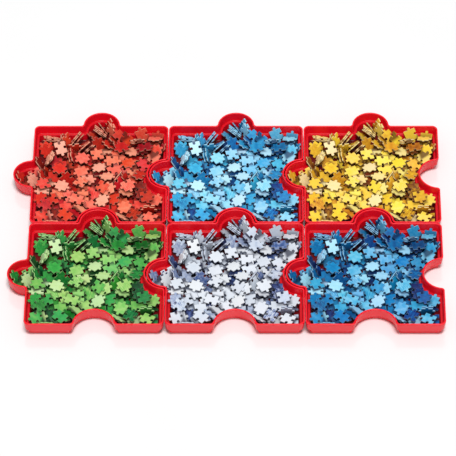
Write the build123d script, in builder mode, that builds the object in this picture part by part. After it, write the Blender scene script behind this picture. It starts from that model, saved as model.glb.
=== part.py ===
from build123d import *
import math
import os

os.makedirs("parts", exist_ok=True)

# Sorting set: six stacking trays whose outline is a jigsaw piece, laid out
# two rows deep and three columns wide with each tab in its neighbour's notch.
# Every tray holds a shallow heap of loose jigsaw pieces.
# Millimetres, +Z up, +Y to the back, origin under the middle of the set.

# ---------------------------------------------------------------- dimensions
pitch = 200.0            # spacing of the trays in both directions
gap = 0.6                # free play between two neighbouring rims
side = pitch - gap       # rim to rim size of one tray's square body
height = 25.0            # base to rim
foot_height = 10.0       # narrow stacking foot under the outer step
ledge_height = 12.0      # inner ledge that the foot of another tray rests on
floor = 2.0              # floor thickness

tab_radius = 27.3        # half-round tab on the left and back sides
tab_offset = 0.5         # its centre lies this far outside the side
notch_radius = 28.6      # half-round notch on the right and front sides

# horizontal inset from the rim's outer edge, at each level of the wall
inset_step_top = 1.8     # outer wall just above the step
inset_step_foot = 4.9    # outer wall just under the step
inset_base = 6.1         # outer wall at the base
inset_mouth = 2.4        # inner wall at the rim
inset_ledge_top = 4.0    # inner wall just above the ledge
inset_ledge_foot = 7.2   # inner wall just under the ledge
inset_floor = 8.4        # inner wall at the floor

corner_radius = 8.5      # rounding of the four outer corners
root_radius = 4.0        # concave rounding where a tab leaves its side
lip_radius = 5.0         # convex rounding where a notch meets its side

rim_rounding = 0.9
base_rounding = 1.0
floor_rounding = 1.0
step_rounding = 0.6
ledge_rounding = 0.5

piece_thickness = 1.9
head_radius = 2.2        # round head of a jigsaw tab
head_centre = 1.85       # height of its centre above the piece's side

# middle of the set seen from the middle of its overall box, tabs included
tab_reach = side / 2 + tab_offset + tab_radius
shift = (tab_reach - side / 2) / 2
column = {"left": shift - pitch, "center": shift, "right": shift + pitch}
row = {"back": pitch / 2 - shift, "front": -pitch / 2 - shift}


def outline(inset):
    """Tray outline drawn in by the given distance from the rim's outer edge."""
    half = side / 2 - inset
    with BuildSketch() as drawn:
        Rectangle(2 * half, 2 * half)
        with Locations((-side / 2 - tab_offset, 0), (0, side / 2 + tab_offset)):
            Circle(tab_radius - inset)
        with Locations((side / 2, 0), (0, -side / 2)):
            Circle(notch_radius + inset, mode=Mode.SUBTRACT)
        corners = [
            v for v in drawn.vertices()
            if abs(abs(v.X) - half) < 1e-3 and abs(abs(v.Y) - half) < 1e-3
        ]
        fillet(corners, corner_radius - 0.55 * inset)
        roots = [
            v for v in drawn.vertices()
            if (abs(v.X + half) < 1e-3 and abs(v.Y) < 40)
            or (abs(v.Y - half) < 1e-3 and abs(v.X) < 40)
        ]
        fillet(roots, root_radius + 0.5 * inset)
        lips = [
            v for v in drawn.vertices()
            if (abs(v.X - half) < 1e-3 and abs(v.Y) < 60)
            or (abs(v.Y + half) < 1e-3 and abs(v.X) < 60)
        ]
        fillet(lips, lip_radius - 0.35 * inset)
    return drawn.sketch


# ---------------------------------------------------------------- the tray
with BuildPart() as tray:
    with BuildSketch(Plane.XY):
        add(outline(inset_base))
    with BuildSketch(Plane.XY.offset(foot_height)):
        add(outline(inset_step_foot))
    loft(ruled=True)
    with BuildSketch(Plane.XY.offset(foot_height)):
        add(outline(inset_step_top))
    with BuildSketch(Plane.XY.offset(height)):
        add(outline(0))
    loft(ruled=True)
    with BuildSketch(Plane.XY.offset(floor)):
        add(outline(inset_floor))
    with BuildSketch(Plane.XY.offset(ledge_height)):
        add(outline(inset_ledge_foot))
    loft(ruled=True, mode=Mode.SUBTRACT)
    with BuildSketch(Plane.XY.offset(ledge_height)):
        add(outline(inset_ledge_top))
    with BuildSketch(Plane.XY.offset(height)):
        add(outline(inset_mouth))
    loft(ruled=True, mode=Mode.SUBTRACT)
    for level, radius in (
        (height, rim_rounding),
        (0.0, base_rounding),
        (floor, floor_rounding),
        (foot_height, step_rounding),
        (ledge_height, ledge_rounding),
    ):
        level_edges = tray.edges().filter_by_position(
            Axis.Z, level - 1e-3, level + 1e-3
        )
        fillet(level_edges, radius)

with BuildPart() as tray_back_left:
    with Locations((column["left"], row["back"], 0)):
        add(tray.part)
tray_back_left.part.label = "tray_back_left"
export_step(tray_back_left.part, "parts/tray_back_left.step", write_pcurves=False)

with BuildPart() as tray_back_center:
    with Locations((column["center"], row["back"], 0)):
        add(tray.part)
tray_back_center.part.label = "tray_back_center"
export_step(tray_back_center.part, "parts/tray_back_center.step", write_pcurves=False)

with BuildPart() as tray_back_right:
    with Locations((column["right"], row["back"], 0)):
        add(tray.part)
tray_back_right.part.label = "tray_back_right"
export_step(tray_back_right.part, "parts/tray_back_right.step", write_pcurves=False)

with BuildPart() as tray_front_left:
    with Locations((column["left"], row["front"], 0)):
        add(tray.part)
tray_front_left.part.label = "tray_front_left"
export_step(tray_front_left.part, "parts/tray_front_left.step", write_pcurves=False)

with BuildPart() as tray_front_center:
    with Locations((column["center"], row["front"], 0)):
        add(tray.part)
tray_front_center.part.label = "tray_front_center"
export_step(tray_front_center.part, "parts/tray_front_center.step", write_pcurves=False)

with BuildPart() as tray_front_right:
    with Locations((column["right"], row["front"], 0)):
        add(tray.part)
tray_front_right.part.label = "tray_front_right"
export_step(tray_front_right.part, "parts/tray_front_right.step", write_pcurves=False)

# ---------------------------------------------------------------- the pieces
# Eight piece outlines. Width, depth, then the bottom, right, top and left
# side: 1 is a tab, -1 a socket and 0 a straight edge, with the offset of the
# tab along its side and the size of its round head.
outlines = (
    (16.0, 17.8, ((1, 0.3, 1.00), (-1, -0.4, 0.98), (1, -0.6, 0.98), (-1, 0.5, 1.02))),
    (17.8, 16.0, ((-1, -0.5, 1.00), (1, 0.4, 1.01), (-1, 0.3, 0.97), (1, -0.3, 0.98))),
    (16.8, 16.6, ((1, 0.6, 0.98), (1, -0.5, 1.00), (-1, 0.4, 1.02), (-1, -0.2, 1.00))),
    (15.8, 17.2, ((1, -0.4, 1.00), (1, 0.2, 0.97), (1, 0.5, 1.00), (-1, -0.6, 1.02))),
    (17.4, 17.0, ((-1, 0.4, 0.98), (-1, -0.3, 1.00), (1, -0.2, 1.00), (-1, 0.6, 0.99))),
    (16.4, 16.2, ((1, -0.2, 0.98), (1, 0.5, 0.97), (1, 0.1, 0.98), (1, -0.5, 0.96))),
    (17.0, 17.6, ((-1, 0.2, 1.02), (1, -0.6, 0.98), (0, 0.0, 1.00), (1, 0.4, 0.99))),
    (17.8, 16.4, ((-1, -0.3, 0.99), (-1, 0.5, 1.01), (-1, 0.2, 1.00), (1, 0.3, 1.00))),
)


def side_curve(length, kind, offset, size):
    """Stretches of one side, as (along, outward) points."""
    if kind == 0:
        return [[(-length / 2, 0), (length / 2, 0)]]
    half = math.sqrt(head_radius**2 - head_centre**2) * size
    peak = kind * (head_centre + head_radius) * size
    return [
        [(-length / 2, 0), (offset - half, 0)],
        [(offset - half, 0), (offset, peak), (offset + half, 0)],
        [(offset + half, 0), (length / 2, 0)],
    ]


def piece(width, depth, sides):
    """One flat jigsaw piece, centred on its own middle."""
    frames = (
        ((0, -depth / 2), (1, 0), (0, -1), width),
        ((width / 2, 0), (0, 1), (1, 0), depth),
        ((0, depth / 2), (-1, 0), (0, 1), width),
        ((-width / 2, 0), (0, -1), (-1, 0), depth),
    )
    with BuildPart() as made:
        with BuildSketch(Plane.XY.offset(-piece_thickness / 2)):
            with BuildLine():
                for (o, d, n, length), (kind, offset, size) in zip(frames, sides):
                    for stretch in side_curve(length, kind, offset, size):
                        points = [
                            (o[0] + d[0] * t + n[0] * m, o[1] + d[1] * t + n[1] * m)
                            for t, m in stretch
                        ]
                        if len(points) == 2:
                            Line(*points)
                        else:
                            ThreePointArc(*points)
            make_face()
        extrude(amount=piece_thickness)
    return made.part


shapes = [piece(*given) for given in outlines]

# Where each loose piece lies in its tray: outline number, middle of the piece
# from the middle of the tray's base, and its turns about X, Y and Z.
lying = (
    (3, -74.308, 78.115, 11.740, -55.592, 8.277, -77.698),
    (4, -73.845, 79.343, 13.697, -55.592, 8.277, -77.542),
    (5, -73.861, 81.111, 14.988, -55.592, 8.277, 100.002),
    (0, -73.828, 83.447, 15.436, -55.592, 8.277, -78.707),
    (3, -33.928, 78.982, 14.361, -45.712, -51.112, 34.854),
    (4, -37.652, 80.123, 16.448, -45.712, -51.112, 126.800),
    (4, -39.102, 81.290, 17.610, -45.712, -51.112, 33.803),
    (3, -46.003, 46.226, 14.086, -12.117, 71.575, 11.103),
    (0, -41.914, 46.097, 15.559, -12.117, 71.575, -171.946),
    (1, -17.741, 58.790, 14.175, -48.070, -41.561, -65.067),
    (3, -20.244, 59.427, 14.470, -48.070, -41.561, -152.295),
    (1, -56.758, 21.087, 11.524, 11.936, 1.245, 97.931),
    (3, -56.751, 20.534, 13.618, 11.936, 1.245, 97.325),
    (0, -57.386, 21.173, 15.979, 11.936, 1.245, -170.044),
    (0, -57.310, 19.933, 17.926, 11.936, 1.245, 10.306),
    (0, -59.437, 59.027, 18.609, 28.161, 10.795, -162.377),
    (7, -59.868, 57.504, 20.384, 28.161, 10.795, 106.467),
    (0, -75.038, 39.604, 14.747, -12.556, -57.118, -103.175),
    (7, -76.791, 40.548, 15.841, -12.556, -57.118, 74.966),
    (2, 54.029, 73.404, 13.269, -57.748, -6.778, 76.537),
    (1, 53.578, 75.317, 14.220, -57.748, -6.778, -103.827),
    (3, 52.991, 76.741, 15.914, -57.748, -6.778, -14.465),
    (3, -3.191, 92.556, 13.975, -48.533, 36.846, 145.660),
    (5, -1.358, 93.435, 14.988, -48.533, 36.846, 56.938),
    (2, -1.268, 95.212, 16.957, -48.533, 36.846, 58.792),
    (2, 19.493, 75.836, 11.719, -17.117, 38.960, -127.023),
    (2, 20.271, 77.143, 13.568, -17.117, 38.960, 143.290),
    (5, 73.362, -64.650, 14.512, -76.000, 0.000, 91.631),
    (7, 74.649, -62.752, 15.843, -76.000, 0.000, -92.854),
    (0, 28.331, -8.098, 11.365, 39.660, 43.417, -44.342),
    (4, -52.971, -79.961, 10.398, 28.420, 15.365, 25.257),
    (5, 24.351, 3.803, 12.709, -42.490, -51.716, -111.733),
    (3, 32.765, 53.104, 3.390, 0.001, -0.001, -140.571),
    (0, 41.606, -56.920, 4.896, 3.169, -6.375, -87.537),
    (0, 87.823, 60.081, 12.408, -2.716, -50.111, 110.992),
    (5, 70.428, 46.323, 5.399, -10.414, -2.002, 164.122),
    (2, 53.043, 14.007, 6.749, 20.768, 11.407, 118.568),
    (3, -18.096, -46.218, 7.323, 7.959, -3.364, 16.586),
    (6, -13.300, 76.512, 5.366, 5.536, -10.074, -56.419),
    (1, -13.005, 35.790, 5.294, -1.359, 8.815, -150.713),
    (5, -73.313, -10.394, 6.085, -11.727, -6.985, -98.571),
    (7, -87.541, -9.776, 6.024, 171.906, 17.237, -64.471),
    (2, 59.963, -27.375, 6.999, -5.644, -4.799, -114.700),
    (0, 8.722, -29.704, 6.351, 9.268, -1.423, -91.556),
    (6, 60.361, 91.648, 13.391, -110.836, -0.048, 66.092),
    (1, 78.479, -49.403, 6.360, 0.200, 6.327, 161.288),
    (6, -88.923, 32.185, 12.502, -4.960, 54.947, 159.106),
    (1, -100.308, -1.779, 12.915, 32.805, 52.849, 114.043),
    (6, 74.246, -40.891, 4.663, 0.185, 6.326, -27.959),
    (0, 16.514, -47.762, 6.339, 8.565, -10.628, -38.786),
    (2, 52.442, 49.324, 7.378, 161.929, 0.450, -158.389),
    (0, 10.130, -9.117, 10.226, 1.819, -20.534, -174.607),
    (3, 26.800, 34.659, 5.570, 0.000, -0.000, 80.182),
    (1, -78.603, -58.675, 7.321, 18.242, 6.915, 159.025),
    (4, -76.332, 15.583, 9.209, -3.226, 45.541, 94.522),
    (5, -34.827, 22.153, 6.886, 8.542, -4.085, -5.880),
    (6, -36.935, -48.932, 6.457, 3.428, -2.565, 91.350),
    (4, 46.228, -25.798, 3.390, 0.001, -0.001, 114.992),
    (3, -13.717, -27.824, 4.537, -176.039, -4.269, -20.064),
    (1, -72.474, -44.014, 7.697, 13.660, 15.003, -60.459),
    (4, 54.717, -80.879, 3.385, 0.023, 0.008, -92.915),
    (0, 27.067, 85.567, 15.665, 23.238, 16.028, 44.350),
    (1, -48.219, -0.270, 13.514, -116.709, -14.435, -129.717),
    (7, -28.331, 72.425, 11.456, -37.269, -28.426, -30.986),
    (2, 33.583, -75.030, 8.947, -35.195, 27.366, -32.381),
    (1, -60.934, -29.637, 5.972, 0.647, 1.856, 132.026),
    (4, 11.405, 106.682, 11.118, -113.435, 54.665, 109.578),
    (0, 27.435, -57.949, 8.218, -166.854, 4.910, 87.343),
    (6, 53.600, -9.929, 8.996, 169.945, 26.492, 145.142),
    (2, -36.706, -74.525, 15.852, 0.272, 12.389, 124.032),
    (0, -4.629, -13.490, 5.912, -8.021, 9.271, -85.333),
    (3, -56.505, -48.623, 6.326, 12.104, 6.396, -157.215),
    (1, -76.071, -79.179, 5.965, 12.689, 0.437, 66.506),
    (2, -67.942, -89.211, 16.218, -52.850, 1.082, -36.378),
    (2, 5.014, 7.056, 4.809, 5.493, -4.286, -0.855),
    (7, -29.785, 2.876, 5.556, -0.385, -0.981, -155.509),
    (1, -83.184, 5.640, 13.111, 174.071, -52.495, 175.113),
    (1, -3.556, -49.138, 4.509, 5.556, 2.294, 90.106),
    (2, -43.100, -16.839, 5.570, -180.000, -0.000, -51.489),
    (5, -26.179, 36.339, 3.390, 0.000, 0.001, 126.668),
    (0, 70.747, 59.896, 5.438, 170.806, 1.384, -8.585),
    (6, -9.666, 1.844, 7.572, -4.614, 5.824, -45.803),
    (6, 34.047, -23.951, 8.044, -13.654, 4.929, -135.544),
    (5, -59.701, 13.599, 21.306, 0.186, 5.320, 42.138),
    (1, -23.481, -10.893, 3.390, -0.001, -0.001, -145.460),
    (1, 35.215, 82.270, 9.228, 23.275, 15.994, -46.373),
    (3, 50.154, 64.762, 6.727, 166.389, -10.234, -173.798),
    (2, -2.180, 18.062, 7.487, -16.673, 1.014, 11.661),
    (1, -65.954, -67.357, 6.396, 14.374, -0.559, -117.235),
    (4, 82.796, 86.815, 9.343, -133.433, 8.296, -172.225),
    (6, 6.496, 33.341, 7.426, -9.888, -8.299, 68.147),
    (4, -37.854, 27.996, 5.335, -171.458, 4.085, -33.958),
    (5, -55.729, 79.539, 12.513, -167.863, -60.694, 77.170),
    (3, 33.692, -44.196, 6.910, 3.109, -6.500, 7.761),
    (5, 39.310, 2.584, 10.941, 176.609, -45.165, 20.210),
    (7, 75.926, -81.073, 3.391, 179.997, -0.001, 87.568),
    (3, -81.362, 64.333, 12.258, -128.705, -9.939, -48.604),
    (1, -3.740, 105.105, 12.898, -47.906, 37.135, -90.392),
    (3, -31.963, -59.092, 3.390, -0.001, -0.000, 82.084),
    (0, 33.005, 63.508, 10.416, -7.945, 35.920, -130.777),
    (1, 35.081, 18.074, 6.906, 26.215, -0.405, -179.943),
    (2, 10.935, 60.012, 8.118, -17.667, -4.821, -20.729),
    (6, 52.781, -50.077, 9.223, -175.261, -5.135, -88.084),
    (2, 63.168, 35.246, 3.390, -0.002, 0.001, -78.975),
    (4, -16.165, 15.086, 3.390, -0.000, -0.000, -83.059),
    (3, 44.451, 32.486, 7.242, 5.707, 6.698, -83.103),
    (7, -41.715, 60.658, 17.448, 99.243, 11.074, 176.338),
    (7, -11.761, 44.870, 7.092, 178.641, -8.815, -30.036),
    (2, -67.501, 2.989, 14.069, -151.369, 7.249, 174.981),
    (2, -80.157, 61.396, 11.796, -128.701, -9.946, -163.157),
    (7, -46.169, 64.222, 3.390, -180.000, -0.000, -146.039),
    (2, -25.228, 66.590, 12.895, -48.070, -41.561, -28.002),
    (3, 1.709, 107.708, 10.062, -47.702, 53.210, -126.085),
    (2, 13.007, 109.651, 14.167, 66.560, -54.668, -39.855),
    (0, -115.252, 2.051, 11.833, -165.367, -46.301, 145.424),
    (0, 80.084, 72.724, 11.260, -7.497, -20.955, -6.700),
    (5, 81.544, 55.248, 15.061, 16.826, -27.763, -71.277),
    (3, 78.502, 43.514, 12.884, 16.454, -25.644, 51.873),
    (4, 63.920, 31.972, 9.208, 21.958, 6.712, 29.657),
    (5, 40.948, 33.320, 12.652, -4.794, -6.607, -68.598),
    (5, 44.862, 57.538, 11.742, -13.616, 10.251, 172.713),
    (6, 5.127, 59.263, 10.139, -17.663, -4.825, 22.706),
    (4, -17.207, 41.450, 10.225, -1.359, 8.815, -36.868),
    (5, -2.101, 27.057, 9.596, -9.073, -8.085, -46.223),
    (1, 17.403, 36.234, 13.846, 13.936, 11.558, 5.364),
    (2, -17.905, 1.602, 10.633, -4.608, 5.816, 11.791),
    (5, 10.629, 4.437, 13.958, -16.572, -0.694, 77.784),
    (4, 48.865, 10.711, 11.734, 4.334, 5.118, -171.891),
    (7, 20.265, 20.568, 11.030, 29.312, 1.392, -150.702),
    (5, -98.804, -4.451, 14.467, 29.363, 50.037, 26.339),
    (5, -55.816, -15.068, 14.325, 0.704, 5.143, 162.153),
    (0, -23.921, -34.369, 11.019, 8.314, -2.529, 3.572),
    (1, -9.190, -25.747, 9.793, 19.290, -7.311, -50.496),
    (5, 4.556, -42.714, 11.771, 7.203, -21.630, 19.347),
    (2, 13.175, -21.745, 13.705, 16.876, -23.218, 100.401),
    (5, 38.703, -26.358, 12.430, -17.983, 16.512, -153.448),
    (0, 60.685, -21.275, 13.473, 16.759, -5.361, 1.960),
    (5, 82.322, -42.226, 11.914, 6.776, -11.581, 154.310),
    (1, 60.808, -51.118, 10.622, 4.713, 5.076, -175.307),
    (4, -69.866, -42.745, 13.503, 9.396, -1.585, 110.646),
    (7, -82.626, -28.065, 15.827, -10.549, 1.425, 0.793),
    (2, -48.599, -57.452, 10.958, 8.476, -0.502, 99.396),
    (7, -53.710, -15.277, 9.269, 5.208, 8.353, -32.117),
    (3, -77.587, -72.795, 9.647, 12.686, 0.441, 12.034),
    (5, -27.479, -61.958, 14.201, -25.005, 22.992, -160.370),
    (1, -11.689, -52.742, 9.448, 15.323, 3.767, 128.946),
    (2, 34.560, -74.369, 10.866, -35.196, 27.365, -59.835),
    (5, 55.818, -75.297, 5.569, 0.022, -0.005, -45.568),
    (4, 76.350, -77.543, 6.597, 179.691, -7.511, 63.596),
    (1, 7.774, -51.131, 9.421, 7.307, -22.992, -85.904),
    (5, 37.755, -56.797, 12.112, 10.245, -5.723, -28.613),
    (1, -76.936, -12.140, 12.644, 9.053, 5.461, 66.012),
    (1, -4.200, 71.108, 13.201, 50.802, 19.185, 109.428),
    (4, 37.221, 82.132, 14.273, 25.130, 33.521, 152.189),
    (1, -33.415, -40.903, 12.846, 7.675, 2.266, 162.018),
    (1, 21.532, -39.743, 12.208, -1.570, -17.809, -94.725),
    (7, 3.503, -16.387, 13.550, 16.930, -22.898, 142.036),
    (1, -43.216, -35.105, 11.625, 9.323, 7.593, -69.145),
    (1, 25.317, 46.805, 11.472, 7.746, 15.280, -30.969),
    (1, 46.035, -6.566, 13.919, 16.919, 20.189, -120.332),
    (5, -28.409, 19.081, 9.291, 7.849, -2.470, -67.948),
    (1, -48.255, -79.148, 19.167, 11.099, -4.028, -40.076),
    (5, -60.687, -28.163, 11.922, 2.737, 6.704, -77.730),
    (2, 12.944, 100.877, 12.660, -113.434, 54.664, 35.613),
    (1, -60.702, 58.296, 6.027, 9.513, 3.008, -32.282),
    (2, -64.938, 38.450, 6.486, 15.738, 10.212, -169.493),
    (5, -27.067, 39.802, 16.171, 3.443, 1.718, -56.243),
    (4, 82.124, -79.171, 11.668, 6.199, -10.020, 89.193),
    (4, 51.405, -72.373, 13.546, 5.040, -0.500, -27.104),
    (7, 61.278, 62.616, 12.489, -1.816, 2.362, 89.763),
    (3, -84.054, -46.085, 17.785, -169.923, 1.430, 172.058),
    (5, 11.915, 71.419, 13.064, 161.794, -27.602, 90.945),
    (7, -81.881, -76.990, 15.027, 27.251, 15.853, 16.282),
    (4, -107.678, -7.096, 9.351, -152.097, -39.094, -141.366),
    (4, -10.806, 90.731, 10.214, -19.568, 25.667, 43.260),
    (4, -5.518, 47.472, 15.602, 2.910, 7.263, 14.828),
    (5, -51.756, 30.456, 8.620, 5.329, -6.173, -20.962),
    (3, 30.246, 60.771, 17.825, 3.289, 11.332, 121.965),
    (3, 63.909, -33.815, 15.774, 14.215, 3.745, 160.343),
    (4, 75.934, -80.227, 15.005, 0.076, -0.048, 61.777),
    (2, 78.522, 80.744, 16.045, -29.766, 0.162, -7.575),
    (7, -28.363, -7.938, 14.594, -3.496, 5.600, -119.003),
    (2, 69.024, -39.327, 17.263, 13.442, -1.778, 11.422),
    (0, -96.114, 12.768, 9.890, 38.343, -1.948, -63.438),
    (3, -61.996, 12.620, 6.368, -5.316, 12.686, 109.429),
    (2, -81.947, -14.647, 17.688, 0.180, 9.728, -156.808),
    (0, 64.777, 62.118, 17.125, -3.336, -3.846, -80.967),
    (3, 41.227, -17.393, 17.774, 15.525, 12.433, -57.290),
    (2, -80.155, -57.411, 18.371, 20.993, 10.042, 58.028),
    (0, 58.164, 4.691, 16.763, -12.299, 9.013, -21.107),
    (4, -51.655, 77.698, 16.193, 40.838, 56.228, -145.828),
)

with BuildPart() as heap:
    for number, shape in enumerate(shapes):
        with Locations(
            *[
                Location((x, y, z), (a, b, c))
                for which, x, y, z, a, b, c in lying
                if which == number
            ]
        ):
            add(shape, clean=False)

with BuildPart() as red_pieces:
    with Locations((column["left"], row["back"], 0)):
        add(heap.part, clean=False)
red_pieces.part.label = "red_pieces"
export_step(red_pieces.part, "parts/red_pieces.step", write_pcurves=False)

with BuildPart() as light_blue_pieces:
    with Locations((column["center"], row["back"], 0)):
        add(heap.part, clean=False)
light_blue_pieces.part.label = "light_blue_pieces"
export_step(light_blue_pieces.part, "parts/light_blue_pieces.step", write_pcurves=False)

with BuildPart() as yellow_pieces:
    with Locations((column["right"], row["back"], 0)):
        add(heap.part, clean=False)
yellow_pieces.part.label = "yellow_pieces"
export_step(yellow_pieces.part, "parts/yellow_pieces.step", write_pcurves=False)

with BuildPart() as green_pieces:
    with Locations((column["left"], row["front"], 0)):
        add(heap.part, clean=False)
green_pieces.part.label = "green_pieces"
export_step(green_pieces.part, "parts/green_pieces.step", write_pcurves=False)

with BuildPart() as white_pieces:
    with Locations((column["center"], row["front"], 0)):
        add(heap.part, clean=False)
white_pieces.part.label = "white_pieces"
export_step(white_pieces.part, "parts/white_pieces.step", write_pcurves=False)

with BuildPart() as dark_blue_pieces:
    with Locations((column["right"], row["front"], 0)):
        add(heap.part, clean=False)
dark_blue_pieces.part.label = "dark_blue_pieces"
export_step(dark_blue_pieces.part, "parts/dark_blue_pieces.step", write_pcurves=False)
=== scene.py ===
import bpy
import math
import random
import numpy as np
from mathutils import Matrix, Vector


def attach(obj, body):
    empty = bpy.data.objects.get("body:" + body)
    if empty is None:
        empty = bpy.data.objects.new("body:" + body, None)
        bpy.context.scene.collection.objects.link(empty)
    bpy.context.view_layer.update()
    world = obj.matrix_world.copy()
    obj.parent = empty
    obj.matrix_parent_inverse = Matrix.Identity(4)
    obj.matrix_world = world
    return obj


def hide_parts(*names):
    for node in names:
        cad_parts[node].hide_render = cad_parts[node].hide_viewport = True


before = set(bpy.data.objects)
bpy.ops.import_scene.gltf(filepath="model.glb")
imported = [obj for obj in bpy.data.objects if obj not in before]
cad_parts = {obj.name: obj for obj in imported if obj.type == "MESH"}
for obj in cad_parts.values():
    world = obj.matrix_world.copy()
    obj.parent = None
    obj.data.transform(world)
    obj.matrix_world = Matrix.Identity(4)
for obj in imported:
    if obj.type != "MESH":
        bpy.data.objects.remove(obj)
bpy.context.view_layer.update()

MM = 0.001

# ------------------------------------------------------------------ layout
SHIFT = 13.9
COLUMN = {"left": SHIFT - 200.0, "center": SHIFT, "right": SHIFT + 200.0}
ROW = {"back": 100.0 - SHIFT, "front": -100.0 - SHIFT}
HEIGHT = 25.0
PIECE_T = 1.9
HEAD_R = 2.2
HEAD_C = 1.85

# width, depth, then bottom, right, top and left side: kind, offset, size
OUTLINES = (
    (16.0, 17.8, ((1, 0.3, 1.00), (-1, -0.4, 0.98), (1, -0.6, 0.98), (-1, 0.5, 1.02))),
    (17.8, 16.0, ((-1, -0.5, 1.00), (1, 0.4, 1.01), (-1, 0.3, 0.97), (1, -0.3, 0.98))),
    (16.8, 16.6, ((1, 0.6, 0.98), (1, -0.5, 1.00), (-1, 0.4, 1.02), (-1, -0.2, 1.00))),
    (15.8, 17.2, ((1, -0.4, 1.00), (1, 0.2, 0.97), (1, 0.5, 1.00), (-1, -0.6, 1.02))),
    (17.4, 17.0, ((-1, 0.4, 0.98), (-1, -0.3, 1.00), (1, -0.2, 1.00), (-1, 0.6, 0.99))),
    (16.4, 16.2, ((1, -0.2, 0.98), (1, 0.5, 0.97), (1, 0.1, 0.98), (1, -0.5, 0.96))),
    (17.0, 17.6, ((-1, 0.2, 1.02), (1, -0.6, 0.98), (0, 0.0, 1.00), (1, 0.4, 0.99))),
    (17.8, 16.4, ((-1, -0.3, 0.99), (-1, 0.5, 1.01), (-1, 0.2, 1.00), (1, 0.3, 1.00))),
)

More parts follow.
